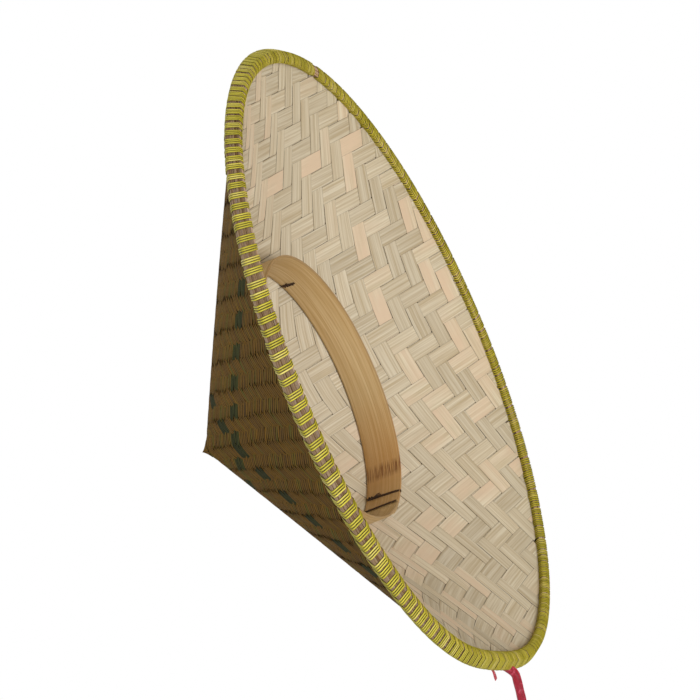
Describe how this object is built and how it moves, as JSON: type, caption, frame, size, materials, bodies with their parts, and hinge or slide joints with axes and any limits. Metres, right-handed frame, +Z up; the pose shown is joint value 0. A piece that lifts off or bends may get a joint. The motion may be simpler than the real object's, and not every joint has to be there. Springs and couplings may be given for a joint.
{
  "type": "conical hat",
  "caption": "Woven bamboo conical hat with an inner lining, a lashed hoop rim, a bamboo head band tied inside and a crimson chin ribbon.",
  "frame": {"origin": "on the hat axis, in the plane that the rim stands on", "axes": "+Z up the hat axis to the tip; +X towards the joint of the outer hoop; the chin ribbon is tied near -X"},
  "size_m": [0.5117, 0.4218, 0.154],
  "materials": {
    "woven_outer": "fine split bamboo, satin skin",
    "woven_lining": "dry split bamboo, matte",
    "bamboo_leaf": "dried leaf, matte",
    "rim_bamboo": "split bamboo, satin",
    "rattan_lashing": "glossy split cane",
    "dyed_splint": "dyed split bamboo, satin",
    "band_bamboo": "polished split bamboo",
    "dark_thread": "twisted thread",
    "ribbon_cloth": "crimson satin ribbon"
  },
  "bodies": {
    "root": {"outer_weave": "woven_outer", "leaf_layer": "bamboo_leaf", "inner_lining": "woven_lining", "rim_outer_hoop_face": "rim_bamboo", "rim_outer_hoop_back": "rim_bamboo", "rim_inner_hoop_face": "rim_bamboo", "rim_inner_hoop_back": "rim_bamboo", "rim_edge_splint_inner": "rim_bamboo", "rim_edge_splint_outer": "rim_bamboo", "rim_lashing": "rattan_lashing", "accent_splints": "dyed_splint", "head_band": "band_bamboo", "band_tie_1": "dark_thread", "band_tie_2": "dark_thread", "band_tie_3": "dark_thread", "band_tie_4": "dark_thread", "chin_ribbon_tied_end": "ribbon_cloth", "chin_ribbon_run": "ribbon_cloth", "chin_ribbon_coil": "ribbon_cloth", "coil_tie": "dark_thread"}
  },
  "joints": []
}
